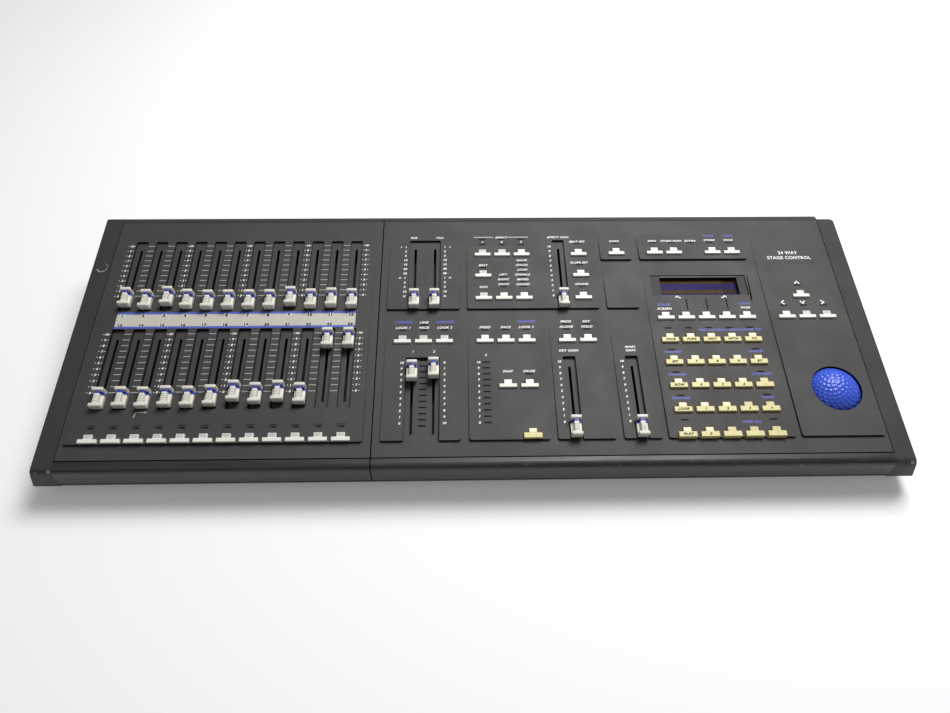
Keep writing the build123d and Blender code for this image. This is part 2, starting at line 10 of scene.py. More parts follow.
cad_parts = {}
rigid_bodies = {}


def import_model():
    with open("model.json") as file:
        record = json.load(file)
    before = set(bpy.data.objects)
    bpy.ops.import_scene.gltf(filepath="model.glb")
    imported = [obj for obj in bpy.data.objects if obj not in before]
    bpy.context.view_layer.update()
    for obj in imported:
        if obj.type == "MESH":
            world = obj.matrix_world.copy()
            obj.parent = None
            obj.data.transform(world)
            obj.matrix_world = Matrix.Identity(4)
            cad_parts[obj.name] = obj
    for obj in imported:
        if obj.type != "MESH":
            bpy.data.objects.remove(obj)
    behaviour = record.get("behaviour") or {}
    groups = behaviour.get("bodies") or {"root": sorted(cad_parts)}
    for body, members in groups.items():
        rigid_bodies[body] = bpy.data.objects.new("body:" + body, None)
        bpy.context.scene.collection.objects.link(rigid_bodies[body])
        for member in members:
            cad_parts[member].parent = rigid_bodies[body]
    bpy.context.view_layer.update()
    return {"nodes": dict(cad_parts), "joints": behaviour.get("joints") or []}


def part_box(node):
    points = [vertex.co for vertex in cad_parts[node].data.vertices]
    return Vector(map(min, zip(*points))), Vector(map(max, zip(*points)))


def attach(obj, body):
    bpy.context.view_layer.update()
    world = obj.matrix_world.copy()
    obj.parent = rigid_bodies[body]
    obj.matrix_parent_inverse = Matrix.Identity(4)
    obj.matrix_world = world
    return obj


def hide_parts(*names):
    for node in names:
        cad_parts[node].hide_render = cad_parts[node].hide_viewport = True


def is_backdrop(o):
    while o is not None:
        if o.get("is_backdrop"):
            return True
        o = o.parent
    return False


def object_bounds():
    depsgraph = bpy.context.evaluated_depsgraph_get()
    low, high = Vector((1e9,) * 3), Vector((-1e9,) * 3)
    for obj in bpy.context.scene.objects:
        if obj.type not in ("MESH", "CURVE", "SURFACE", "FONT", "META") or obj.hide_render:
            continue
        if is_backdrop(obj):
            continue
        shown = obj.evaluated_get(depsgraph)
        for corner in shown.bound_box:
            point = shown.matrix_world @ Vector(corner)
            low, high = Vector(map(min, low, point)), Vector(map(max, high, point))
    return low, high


# Lighting control desk: finishes, fader caps, ball, display, legends and studio.
# Pieces on the panel are laid out in the deck frame, in millimetres: x across the desk,
# s up the slope from the panel's front edge, n out of the panel.

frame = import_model()
NODES = frame["nodes"]
JOINTS = {joint["name"]: joint for joint in frame["joints"]}
DESK = "desk"

# ---- The deck frame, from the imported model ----
MM = 0.001
PANEL_THICK = 4.2
UP_SLOPE = Vector(JOINTS["fade_in_fader_slide"]["axis"])
NORMAL = Vector((1, 0, 0)).cross(UP_SLOPE)
panel_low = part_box("submaster_panel")[0]
EDGE = Vector((0, panel_low.y, panel_low.z + PANEL_THICK * MM * NORMAL.z))
DECK = Matrix((Vector((1, 0, 0)), UP_SLOPE, NORMAL)).transposed().to_4x4()
DECK.translation = EDGE
DECK_MM = DECK @ Matrix.Scale(MM, 4)
TO_DECK = DECK_MM.inverted()


def solids(node):
    """(low, high) deck corners of each separate solid of a node, by row from the back, then left to right."""
    shape = bmesh.new()
    shape.from_mesh(NODES[node].data)
    bmesh.ops.remove_doubles(shape, verts=shape.verts, dist=1e-6)
    left = set(shape.verts)
    boxes = []
    while left:
        reached = [left.pop()]
        for vert in reached:
            for edge in vert.link_edges:
                other = edge.other_vert(vert)
                if other in left:
                    left.remove(other)
                    reached.append(other)
        places = np.array([TO_DECK @ vert.co for vert in reached])
        boxes.append((places.min(0), places.max(0)))
    shape.free()
    return sorted(boxes, key=lambda box: (-round(box[0][1] / 5), box[0][0]))


def key_places(node):
    """(x, s, top, back) of each key of a group."""
    return [((a[0] + b[0]) / 2, (a[1] + b[1]) / 2, b[2], b[1]) for a, b in solids(node)]


KEY_GROUPS = [
    "submaster_flash_keys", "effects_keys", "playback_keys", "blackout_key", "go_key",
    "record_keys", "display_keys", "keypad_keys", "cursor_keys",
]
KEYS = {name: key_places(name) for name in KEY_GROUPS}
FADERS = sorted(name for name in NODES if name.endswith("_fader") or "_fader_" in name)
LEVER_SET_BACK = 6.3           # from a scale mark down to the lever it reads
TRAVEL = 60.0
CHEEK_SPREAD = 0.0075          # how far a cheek's flank stands out below its top edge, in metres


def lever_place(name):
    """(x, s) of a fader's lever at rest: the carriage below it is centred on it."""
    places = np.array([TO_DECK @ vert.co for vert in NODES[name].data.vertices])
    carriage = places[places[:, 2] < places[:, 2].min() + 0.5]
    middle = (carriage.min(0) + carriage.max(0)) / 2
    return float(middle[0]), float(middle[1])


LEVERS = {name: lever_place(name) for name in FADERS}


def zero_mark(name):
    """Deck s of the zero of a fader's scale."""
    return LEVERS[name][1] + JOINTS[name + "_slide"]["range_m"][0] / MM + LEVER_SET_BACK


SUB_X = [LEVERS[f"submaster_fader_{i + 1:02d}"][0] for i in range(12)]
PITCH = (SUB_X[-1] - SUB_X[0]) / 11
TOP_ZERO = zero_mark("submaster_fader_01")
LOW_ZERO = zero_mark("submaster_fader_13")
CONTROL_ZERO = zero_mark("playback_fader_a")
ROW = KEYS["playback_keys"][:8]
A_X, B_X, D_X = [key[0] for key in ROW[:3]], [key[0] for key in ROW[3:6]], [key[0] for key in ROW[6:]]
E_X = KEYS["blackout_key"][0][0]
F_X = [key[0] for key in KEYS["display_keys"]]
G_X = [key[0] for key in KEYS["cursor_keys"][1:]]

# Lines across the deck that each row's words and lamps are placed from
TOP_ROW, STEP_ROW, RUN_ROW = TOP_ZERO + 46.5, TOP_ZERO + 20.1, TOP_ZERO - 6.3
CURSOR_ROW, SIDE_ROW = TOP_ZERO - 5.2, TOP_ZERO - 29.0
PLAY_ROW, CUT_ROW = TOP_ZERO - 53.0, TOP_ZERO - 99.5
FLASH_ROW = 17.2
KEYPAD_ROWS = [17.7 + 23.55 * row for row in (4, 3, 2, 1, 0)]


# ---- Materials ----
class Number:
    """A shader value that takes part in arithmetic by adding Math nodes."""

    def __init__(self, tree, socket):
        self.tree, self.socket = tree, socket

    def maths(self, operation, *operands):
        node = self.tree.nodes.new("ShaderNodeMath")
        node.operation = operation
        for slot, operand in zip(node.inputs, operands):
            if isinstance(operand, Number):
                self.tree.links.new(operand.socket, slot)
            else:
                slot.default_value = operand
        return Number(self.tree, node.outputs[0])

    def __add__(self, other):
        return self.maths("ADD", self, other)

    def __sub__(self, other):
        return self.maths("SUBTRACT", self, other)

    def __mul__(self, other):
        return self.maths("MULTIPLY", self, other)

    def __truediv__(self, other):
        return self.maths("DIVIDE", self, other)

    def __rsub__(self, other):
        return self.maths("SUBTRACT", other, self)

    def __pow__(self, other):
        return self.maths("POWER", self, other)

    def __gt__(self, other):
        return self.maths("GREATER_THAN", self, other)

    def __lt__(self, other):
        return self.maths("LESS_THAN", self, other)

    def __abs__(self):
        return self.maths("ABSOLUTE", self)

    __radd__, __rmul__ = __add__, __mul__

    def ramp(self, start, stop):
        """0 at start, 1 at stop, straight between them and held outside."""
        limited = self.maths("MAXIMUM", (self - start) / (stop - start), 0.0)
        return self.maths("MINIMUM", limited, 1.0)


class Finish:
    """A material being made: the shader's plain values, then what varies over the surface."""

    def __init__(self, name, colour, roughness, **values):
        self.material = bpy.data.materials.new(name)
        self.material.use_nodes = True
        self.tree = self.material.node_tree
        self.shader = self.tree.nodes["Principled BSDF"]
        self.colour = (*colour, 1.0)
        self.shader.inputs["Base Color"].default_value = self.colour
        self.shader.inputs["Roughness"].default_value = roughness
        for key, value in values.items():
            self.shader.inputs[key.replace("_", " ")].default_value = value
        self.place = self.add("ShaderNodeTexCoord").outputs["Object"]

    def add(self, kind, settings=None, **values):
        """A node of a type, with its settings, then the values or links of its sockets."""
        node = self.tree.nodes.new(kind)
        for key, value in (settings or {}).items():
            setattr(node, key, value)
        for key, value in values.items():
            slot = node.inputs[int(key[1:]) if key[0] == "_" else key]
            if isinstance(value, Number):
                self.tree.links.new(value.socket, slot)
            elif isinstance(value, bpy.types.NodeSocket):
                self.tree.links.new(value, slot)
            else:
                slot.default_value = value
        return node

    def number(self, socket):
        return Number(self.tree, socket)

    def axes(self, place=None):
        """The three coordinates as numbers, in metres."""
        split = self.add("ShaderNodeSeparateXYZ", _0=place or self.place)
        return [self.number(socket) for socket in split.outputs]

    def noise(self, scale, detail=2.0, roughness=0.5, stretch=(1, 1, 1)):
        """Fractal noise, 0 to 1, scale in cells for each metre."""
        place = self.add("ShaderNodeMapping", _0=self.place, Scale=stretch).outputs[0]
        node = self.add("ShaderNodeTexNoise", Vector=place, Scale=scale, Detail=detail, Roughness=roughness)
        return self.number(node.outputs[0])

    def cells(self, scale, feature="F1"):
        """Distance to the nearest of scattered points, scale in points for each metre."""
        node = self.add("ShaderNodeTexVoronoi", {"feature": feature}, Vector=self.place, Scale=scale)
        return self.number(node.outputs["Distance"])

    def mix(self, factor, first, second):
        """Colour between two colours."""
        first = (*first, 1.0) if isinstance(first, tuple) and len(first) == 3 else first
        second = (*second, 1.0) if isinstance(second, tuple) and len(second) == 3 else second
        node = self.add("ShaderNodeMix", {"data_type": "RGBA"}, Factor=factor, _6=first, _7=second)
        return node.outputs[2]

    def vary(self, **links):
        """Feeds shader sockets from colours or numbers."""
        for key, value in links.items():
            socket = value.socket if isinstance(value, Number) else value
            self.tree.links.new(socket, self.shader.inputs[key.replace("_", " ")])
        return self

    def bump(self, height, distance, strength=1.0):
        """Bump from a height of 0 to 1, its full depth in metres."""
        node = self.add("ShaderNodeBump", Height=height, Distance=distance, Strength=strength)
        self.tree.links.new(node.outputs[0], self.shader.inputs["Normal"])
        return self

    def spot(self, centre, radius):
        """1 inside a ball round a place, fading out over half its radius."""
        offset = self.add("ShaderNodeVectorMath", {"operation": "DISTANCE"}, _0=self.place, _1=tuple(centre))
        return self.number(offset.outputs["Value"]).ramp(radius, radius * 0.5)


def shade(level):
    """Linear value of an 8-bit screen level."""
    value = level / 255
    return value / 12.92 if value <= 0.04045 else ((value + 0.055) / 1.055) ** 2.4


def tone(red, green, blue):
    """Linear colour of 8-bit screen levels."""
    return (shade(red), shade(green), shade(blue))


def deck_place(x, s, n=0.0):
    """World place of a deck place."""
    return DECK_MM @ Vector((x, s, n))


def textured_paint(name, colour, grain, depth, roughness):
    """Textured coating: fine pebbling, faint mottling, dust and handling marks."""
    made = Finish(name, colour, roughness)
    mottle = made.noise(14, 4, 0.6).ramp(0.35, 0.7)
    pebble = made.noise(grain, 2, 0.7)
    dust = (made.noise(900, 1) > 0.735) * made.noise(40, 3).ramp(0.45, 0.7) * 0.35
    dark = tuple(c * 0.9 for c in colour)
    light = tuple(c * 1.13 for c in colour)
    body = made.mix(mottle * 0.7 + pebble.ramp(0.3, 0.75) * 0.3, dark, light)
    made.tinted = made.mix(dust, body, tone(150, 148, 140))
    made.vary(Base_Color=made.tinted)
    made.vary(Roughness=roughness - 0.08 + made.noise(30, 3).ramp(0.3, 0.75) * 0.13)
    made.bump(pebble.ramp(0.25, 0.8), depth)
    return made


def panel_paint():
    """Charcoal panel coating with a white scuff below one submaster."""
    made = textured_paint("panel_paint", tone(60, 58, 57), 2600, 0.00009, 0.6)
    x, y = made.axes()[:2]
    corner = deck_place(-286.5, 42.5)
    along, across = (x - corner.x) / MM, (y - corner.y) / MM
    rough = made.noise(1500, 3).ramp(0.38, 0.55)
    level = (abs(across) < 0.55) * (along > -3.5) * (along < 4.5)
    down = (abs(along + 4.4 + across * -0.28) < 0.5) * (across < 0.4) * (across > -5.0)
    scuff = (level + down).ramp(0, 1) * rough
    # Painted shade: faces that turn away from the deck normal, the walls of the raised steps, are darkened to
    # near-black.
    facing = made.add("ShaderNodeVectorMath", {"operation": "DOT_PRODUCT"},
                      _0=made.add("ShaderNodeNewGeometry").outputs["True Normal"], _1=tuple(NORMAL))
    wall_shade = made.number(facing.outputs["Value"]).ramp(0.95, 0.5)
    shaded_walls = made.mix(wall_shade, made.tinted, tone(18, 17, 17))
    made.vary(Base_Color=made.mix(scuff * 0.9, shaded_walls, tone(214, 212, 204)))
    return made.material


def cheek_plastic():
    """Moulded end cheek: coarser grain, chipped corners and a crescent scratch."""
    made = textured_paint("cheek_plastic", tone(50, 49, 49), 1500, 0.00014, 0.65)
    low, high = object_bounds()
    left, right = low.x + CHEEK_SPREAD, high.x - CHEEK_SPREAD
    front, rim = low.y + 0.002, EDGE.z - 0.003
    chips = made.spot((left + 0.015, front, rim), 0.002)
    chips = chips + made.spot((left + 0.004, front, rim - 0.001), 0.0016)
    chips = chips + made.spot((right - 0.003, front, rim), 0.0024)
    chips = chips + made.spot((left + 0.003, high.y - 0.006, high.z - 0.004), 0.0026)
    chips = chips * made.noise(900, 3).ramp(0.47, 0.56)
    arc_middle = deck_place(-357.5, 199.0)
    x, y = made.axes()[:2]
    across, along = (x - arc_middle.x) / MM, (y - arc_middle.y) / MM
    reach = (across * across + along * along) ** 0.5
    thick = (across + along).ramp(5.0, -7.0) * 0.55 + 0.2
    crescent = (abs(reach - 4.8) < thick) * (across - along > -2.5) * made.noise(1200, 2).ramp(0.34, 0.48)
    marks = (chips + crescent * 0.7).ramp(0.0, 1.0)
    made.vary(Base_Color=made.mix(marks, made.tinted, tone(190, 188, 180)))
    return made.material


def rail_plastic():
    """Satin front rail with long lighter streaks, polish marks that are also painted sheen, and pale scuffs
    along its nose.
    """
    made = Finish("rail_plastic", tone(48, 45, 46), 0.42)
    streak = made.noise(260, 4, 0.6, (0.06, 1, 1)).ramp(0.35, 0.7)
    grain = made.noise(2200, 2)
    z = made.axes()[2]
    nose = (z - (EDGE.z - 0.006)).ramp(-0.004, 0.0) * (z - EDGE.z).ramp(0.0005, -0.0015)
    rub = made.noise(420, 4, 0.7, (0.25, 1, 1)).ramp(0.6, 0.68) * nose * made.noise(9, 2).ramp(0.45, 0.6)
    # The lighter streaks are polish marks and also painted sheen along the rail.
    body = made.mix(streak, tone(43, 40, 41), tone(53, 50, 51))
    made.vary(Base_Color=made.mix(rub * 0.4, body, tone(130, 128, 126)))
    made.vary(Roughness=0.34 + streak * 0.14)
    return made.bump(grain, 0.00005).material


def tray_metal():
    """Powder-coated steel of the tray."""
    return textured_paint("tray_metal", tone(56, 55, 56), 1900, 0.00008, 0.5).material


def key_plastic(name, colour, grime):
    """Key cap moulding: faint yellowing and specks of grime."""
    made = Finish(name, colour, 0.42, Coat_Weight=0.08, Coat_Roughness=0.3)
    patch = made.noise(70, 3).ramp(0.35, 0.7)
    speck = made.noise(1600, 2).ramp(0.66, 0.74)
    worn = made.mix(patch * 0.5, colour, tuple(c * k for c, k in zip(colour, (0.93, 0.92, 0.84))))
    made.vary(Base_Color=made.mix(speck * 0.35, worn, grime))
    made.vary(Roughness=0.36 + made.noise(400, 2) * 0.16)
    return made.bump(made.noise(2400, 2), 0.00003).material


def ink(name, colour, wear):
    """Screen-printed ink, a little broken up where wear is high."""
    made = Finish(name, colour, 0.5)
    rubbed = made.noise(900, 3).ramp(0.55, 0.75) * wear
    made.vary(Base_Color=made.mix(rubbed, colour, tone(96, 96, 94)))
    return made.material


def plain(name, colour, roughness, grain=1800, depth=0.00003, **values):
    """Moulding or metal with fine grain and slight colour variation."""
    made = Finish(name, colour, roughness, **values)
    patch = made.noise(90, 3).ramp(0.3, 0.7)
    made.vary(Base_Color=made.mix(patch, tuple(c * 0.86 for c in colour), tuple(c * 1.1 for c in colour)))
    return made.bump(made.noise(grain, 2), depth).material


def ball_plastic():
    """Royal blue ball with faint handling haze."""
    made = Finish("ball_blue", tone(66, 98, 224), 0.3, Coat_Weight=0.25, Coat_Roughness=0.15)
    haze = made.noise(120, 4).ramp(0.4, 0.75)
    made.vary(Base_Color=made.mix(haze * 0.35, tone(62, 94, 222), tone(84, 116, 228)))
    made.vary(Roughness=0.24 + haze * 0.18)
    return made.material


def card():
    """Cream designation card under a clear film, lightly foxed."""
    made = Finish("strip_card", tone(206, 202, 190), 0.38, Coat_Weight=0.3, Coat_Roughness=0.15)
    stain = made.noise(60, 4).ramp(0.45, 0.8)
    fibre = made.noise(900, 3, 0.6, (0.4, 1, 1)).ramp(0.3, 0.8)
    body = made.mix(stain * 0.5, tone(207, 203, 191), tone(190, 184, 166))
    made.vary(Base_Color=made.mix(fibre * 0.15, body, tone(170, 165, 152)))
    return made.material


def screen_glass():
    """Display glass with a violet filter behind it."""
    made = Finish("screen_glass", tone(30, 14, 84), 0.4, Specular_IOR_Level=0.06)
    band = made.noise(25, 2, 0.5, (1, 3, 1))
    made.vary(Base_Color=made.mix(band.ramp(0.3, 0.7), tone(24, 9, 74), tone(38, 26, 96)))
    return made.material


INK_WHITE = ink("ink_white", tone(252, 252, 248), 0.08)
INK_GREY = ink("ink_grey", tone(188, 188, 184), 0.3)
INK_BLUE = ink("ink_blue", tone(92, 96, 210), 0.15)
INK_BLACK = plain("ink_black", tone(6, 6, 6), 0.8, Specular_IOR_Level=0.1)
KEY_WHITE = key_plastic("key_white", tone(242, 242, 234), tone(130, 125, 110))
KEY_YELLOW = key_plastic("key_yellow", tone(228, 217, 156), tone(140, 122, 66))
CAP_CREAM = key_plastic("fader_cap", tone(232, 229, 219), tone(130, 122, 105))
LENS_WHITE = plain("key_lens", tone(206, 208, 200), 0.25, Coat_Weight=0.4)
LENS_YELLOW = plain("key_lens_yellow", tone(216, 206, 146), 0.25, Coat_Weight=0.4)
STRIPE = plain("cap_stripe", tone(52, 72, 176), 0.4)
STEEL = plain("plated_steel", tone(168, 168, 168), 0.3, Metallic=1.0)
BLACK = plain("black_moulding", tone(26, 26, 27), 0.5)
PANEL = panel_paint()
FINISHES = {
    "submaster_panel": PANEL, "control_panel": PANEL, "left_end_cheek": cheek_plastic(),
    "front_rail": rail_plastic(), "base_tray": tray_metal(), "designation_strip": card(),
    "fader_tracks": BLACK, "key_switches": BLACK, "trackball_housing": BLACK,
    "circuit_boards": plain("board", tone(14, 30, 22), 0.5), "rear_connectors": BLACK,
    "power_switch_rocker": plain("rocker", tone(34, 34, 35), 0.3), "case_screws": STEEL,
    "feet": plain("foot_rubber", tone(24, 24, 24), 0.75), "forward_encoder_roller": STEEL,
    "sideways_encoder_roller": STEEL, "display_module": screen_glass(),
}
FINISHES["right_end_cheek"] = FINISHES["left_end_cheek"]
for name in KEY_GROUPS:
    FINISHES[name] = KEY_YELLOW if name in ("keypad_keys", "go_key") else KEY_WHITE
for name, material in FINISHES.items():
    mesh = NODES[name].data
    mesh.materials.clear()
    mesh.materials.append(material)


# ---- Making pieces ----
def piece(name, mesh, body, replaced=()):
    """Puts a finished mesh, already in world place, on a body."""
    made = bpy.data.objects.new(name, mesh)
    bpy.context.scene.collection.objects.link(made)
    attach(made, body)
    if replaced:
        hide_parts(*replaced)
    return made


def mesh_of(shape, materials, name="mesh", smooth=None):
    """Turns a bmesh in deck millimetres into a world mesh."""
    bmesh.ops.transform(shape, matrix=DECK_MM, verts=shape.verts)
    mesh = bpy.data.meshes.new(name)
    shape.to_mesh(mesh)
    shape.free()
    for material in materials:
        mesh.materials.append(material)
    if smooth is not None:
        mesh.shade_smooth()
        mesh.set_sharp_from_angle(angle=math.radians(smooth))
    return mesh


def evaluated(maker):
    """Plain mesh of an object with its modifiers and curves applied; the object is removed."""
    bpy.context.view_layer.update()
    graph = bpy.context.evaluated_depsgraph_get()
    mesh = bpy.data.meshes.new_from_object(maker.evaluated_get(graph))
    bpy.data.objects.remove(maker)
    return mesh


def add_rounded_box(shape, low, high, radius, segments=3, taper=None, material=0):
    """Adds a box with rounded edges; taper gives how far each lower corner moves."""
    before = set(shape.verts)
    verts = bmesh.ops.create_cube(shape, size=1.0)["verts"]
    for vert in verts:
        corner = Vector([a + (c + 0.5) * (b - a) for a, b, c in zip(low, high, vert.co)])
        if taper and vert.co.z < 0:
            corner += taper(vert.co)
        vert.co = corner
    edges = {edge for vert in verts for edge in vert.link_edges}
    if radius:
        bmesh.ops.bevel(shape, geom=list(edges), offset=radius, segments=segments, profile=0.5, affect="EDGES")
    for face in shape.faces:
        if before.isdisjoint(face.verts):
            face.material_index = material


class Tree:
    """A Geometry Nodes tree being built, with named inputs."""

    def __init__(self, name, **inputs):
        self.tree = bpy.data.node_groups.new(name, "GeometryNodeTree")
        face = self.tree.interface
        face.new_socket("Geometry", in_out="INPUT", socket_type="NodeSocketGeometry")
        self.ids = {}
        for key, value in inputs.items():
            kind = "NodeSocketInt" if isinstance(value, int) else "NodeSocketFloat"
            socket = face.new_socket(key, in_out="INPUT", socket_type=kind)
            self.ids[key] = (socket.identifier, value)
        face.new_socket("Geometry", in_out="OUTPUT", socket_type="NodeSocketGeometry")
        self.given = self.tree.nodes.new("NodeGroupInput").outputs
        self.result = self.tree.nodes.new("NodeGroupOutput").inputs[0]

    def add(self, kind, settings=None, **values):
        node = self.tree.nodes.new(kind)
        for key, value in (settings or {}).items():
            setattr(node, key, value)
        for key, value in values.items():
            slot = node.inputs[int(key[1:]) if key[0] == "_" else key.replace("_", " ")]
            if isinstance(value, bpy.types.NodeSocket):
                self.tree.links.new(value, slot)
            else:
                slot.default_value = value
        return node

    def finish(self, geometry, material):
        """Realizes instances and sets their material."""
        solid = self.add("GeometryNodeRealizeInstances", Geometry=geometry).outputs[0]
        painted = self.add("GeometryNodeSetMaterial", Geometry=solid, Material=material).outputs[0]
        self.tree.links.new(painted, self.result)

    def run(self, points=()):
        """Plain mesh that the tree makes from a cloud of points."""
        base = bpy.data.meshes.new("points")
        base.from_pydata([tuple(point) for point in points], [], [])
        maker = bpy.data.objects.new("maker", base)
        bpy.context.scene.collection.objects.link(maker)
        modifier = maker.modifiers.new("tree", "NODES")
        modifier.node_group = self.tree
        for identifier, value in self.ids.values():
            modifier[identifier] = value
        return evaluated(maker)


def repeated_box(name, points, size, material):
    """One flat or solid box at each point, made by Geometry Nodes, in deck millimetres."""
    tree = Tree(name, Width=float(size[0]), Depth=float(size[1]), Height=float(size[2]))
    given = tree.given
    extent = tree.add("ShaderNodeCombineXYZ", X=given["Width"], Y=given["Depth"], Z=given["Height"]).outputs[0]
    box = tree.add("GeometryNodeMeshCube", Size=extent).outputs[0]
    dots = tree.add("GeometryNodeMeshToPoints", Mesh=given["Geometry"]).outputs[0]
    copies = tree.add("GeometryNodeInstanceOnPoints", Points=dots, Instance=box).outputs[0]
    tree.finish(copies, material)
    mesh = tree.run(points)
    mesh.transform(DECK_MM)
    return mesh


# ---- Draping flat print over the panel ----
def deck_tree(nodes):
    """Ray target of some nodes, in the deck frame."""
    places, faces = [], []
    for name in nodes:
        mesh = NODES[name].data
        start = len(places)
        places += [TO_DECK @ vert.co for vert in mesh.vertices]
        faces += [[start + i for i in polygon.vertices] for polygon in mesh.polygons]
    return BVHTree.FromPolygons(places, faces)


PANEL_TOP = deck_tree(["submaster_panel", "control_panel", "designation_strip"])
INK_LIFT = 0.05


def height(x, s, target=PANEL_TOP):
    """Deck height of the surface under a place."""
    hit = target.ray_cast(Vector((x, s, 40.0)), Vector((0, 0, -1)))[0]
    return hit.z if hit else 0.0


glyphs = {}
PRINT_SCALE = 1.08             # printed words beside the heights asked for


def glyph(text, slant, bold):
    """Flat mesh of a word, capitals one unit high, centred on the origin."""
    key = (text, slant, bold)
    if key not in glyphs:
        curve = bpy.data.curves.new("word", "FONT")
        curve.body = text
        curve.size = 1.0 / 0.729
        curve.align_x = "CENTER"
        curve.shear = slant
        curve.offset = bold
        curve.resolution_u = 3
        curve.space_character = 1.08
        maker = bpy.data.objects.new("word", curve)
        bpy.context.scene.collection.objects.link(maker)
        mesh = evaluated(maker)
        glyphs[key] = ([vert.co.xy.copy() for vert in mesh.vertices], [list(p.vertices) for p in mesh.polygons])
    return glyphs[key]


class Print:
    """Flat marks of one colour that lie on the panel or on keys."""

    def __init__(self):
        self.places, self.faces = [], []

    def add(self, flat, faces, x, s, target=PANEL_TOP, level=None):
        start = len(self.places)
        for across, up in flat:
            n = level if level is not None else height(x + across, s + up, target)
            self.places.append(deck_place(x + across, s + up, n + INK_LIFT))
        self.faces += [[start + i for i in face] for face in faces]

    def word(self, text, x, s, tall=2.0, slant=0.3, bold=0.04, stretch=1.12, **where):
        points, faces = glyph(text, slant, bold)
        tall *= PRINT_SCALE
        flat = [(p.x * tall * stretch, (p.y - 0.5) * tall) for p in points]
        self.add(flat, faces, x, s, **where)

    def bar(self, x, s, wide, tall, **where):
        w, h = wide / 2, tall / 2
        self.add([(-w, -h), (w, -h), (w, h), (-w, h)], [[0, 1, 2, 3]], x, s, **where)

    def stroke(self, points, thick, **where):
        """A line of straight strokes through points."""
        for (xa, sa), (xb, sb) in zip(points, points[1:]):
            run = Vector((xb - xa, sb - sa)).normalized() * thick / 2
            side = Vector((-run.y, run.x))
            a, b = Vector((xa, sa)) - run, Vector((xb, sb)) + run
            flat = [a - side, b - side, b + side, a + side]
            self.add([tuple(p) for p in flat], [[0, 1, 2, 3]], 0.0, 0.0, **where)

    def finish(self, name, material, body=DESK):
        mesh = bpy.data.meshes.new(name)
        mesh.from_pydata([tuple(p) for p in self.places], [], self.faces)
        mesh.materials.append(material)
        return piece(name, mesh, body)


white, grey, blue, black = Print(), Print(), Print(), Print()

# Submaster scales: a column of figures beside every third fader, dashes between the others
for zero in (TOP_ZERO, LOW_ZERO):
    for gap in range(13):
        x = SUB_X[0] + PITCH * (gap - 0.5)
        for mark in range(11):
            s = zero + TRAVEL * mark / 10
            if gap % 3:
                grey.bar(x, s, 6.4, 0.62)
            else:
                white.word(str(mark), x, s, 2.0, slant=0.15, bold=0.06)
                for side in (-1, 1):
                    white.bar(x + side * 2.6, s, 0.9, 0.6)

# Fade time scales, in two ranges of figures
FADE_STEP = 5.45
for x, side in ((A_X[0], -1), (A_X[2], 1)):
    figures = ["1", "2", "5", "10", "15", "30", "50", "1", "2", "5", "10", "X"]
    for mark, figure in enumerate(figures):
        white.word(figure, x, TOP_ZERO - 2.8 + FADE_STEP * (11 - mark), 2.0, slant=0.15, bold=0.06)
    white.word("S", x + side * 4.8, TOP_ZERO - 2.8 + FADE_STEP * 11, 1.7)
    white.word("M", x + side * 4.8, TOP_ZERO - 2.8 + FADE_STEP * 4, 1.7)

# Level scales of the other faders
SCALES = [
    (D_X[0] - 9.2, TOP_ZERO - 2.8, False), (A_X[0], CONTROL_ZERO, False), (A_X[2], CONTROL_ZERO, True),
    (B_X[0] - 6.6, CONTROL_ZERO, False), (D_X[0] - 9.2, CONTROL_ZERO, False), (E_X - 9.2, CONTROL_ZERO, False),
]
for x, zero, reverse in SCALES:
    for mark in range(11):
        figure = str(10 - mark if reverse else mark)
        white.word(figure, x, zero + TRAVEL * mark / 10, 2.0, slant=0.15, bold=0.06)

# Words over the upper sections; each key's word stands a set rise above its row
WORD_RISE, LAMP_RISE = 16.8, 14.2
LINE_STEP = 5.85               # between stacked words, and between their lamps
s = TOP_ROW
white.word("RISE", A_X[0] + 7.4, s + 22.6, 2.0)
white.word("FALL", A_X[1] + 14.0, s + 22.6, 2.0)
white.word("EFFECT", B_X[1], s + 22.6, 2.1)
for x in (B_X[0] + 1.5, B_X[2] - 2.0):
    grey.bar(x, s + 22.9, 19.5, 1.1)
for number, x in enumerate(B_X):
    white.word(str(number + 1), x, s + WORD_RISE, 2.3)
white.word("EFFECT GAIN", D_X[0] + 0.3, s + 22.6, 2.0)
for word, x in (("BEAT SET", D_X[1]), ("DARK", E_X), ("INFO", F_X[0]), ("STORE ROW", F_X[1]),
                ("EXTRA", F_X[2])):
    white.word(word, x - 0.3, s + WORD_RISE, 2.1)
for word, x in (("STORE", F_X[3]), ("PACE", F_X[4])):
    white.word(word, x, s + 17.6, 2.1)
    blue.word("CLEAR", x, s + 23.6, 2.2)
white.word("BEAT", B_X[0], STEP_ROW + 13.9, 2.1)
white.word("RUN", B_X[0] - 0.2, RUN_ROW + 14.0, 2.1)
white.word("SLOPE SET", D_X[1] - 0.6, STEP_ROW + 16.6, 2.1)
white.word("SOUND", D_X[1] - 0.3, RUN_ROW + 16.8, 2.1)
for line, word in enumerate(("LEFT", "RIGHT", "BOTH")):
    white.word(word, B_X[1], RUN_ROW + 28.8 - LINE_STEP * line, 2.1)
for line, word in enumerate(("WAVE", "STACK", "LOOP", "SPARKLE", "MIXED", "SOUND")):
    white.word(word, B_X[2] - 0.5, RUN_ROW + 46.2 - LINE_STEP * line, 2.1)

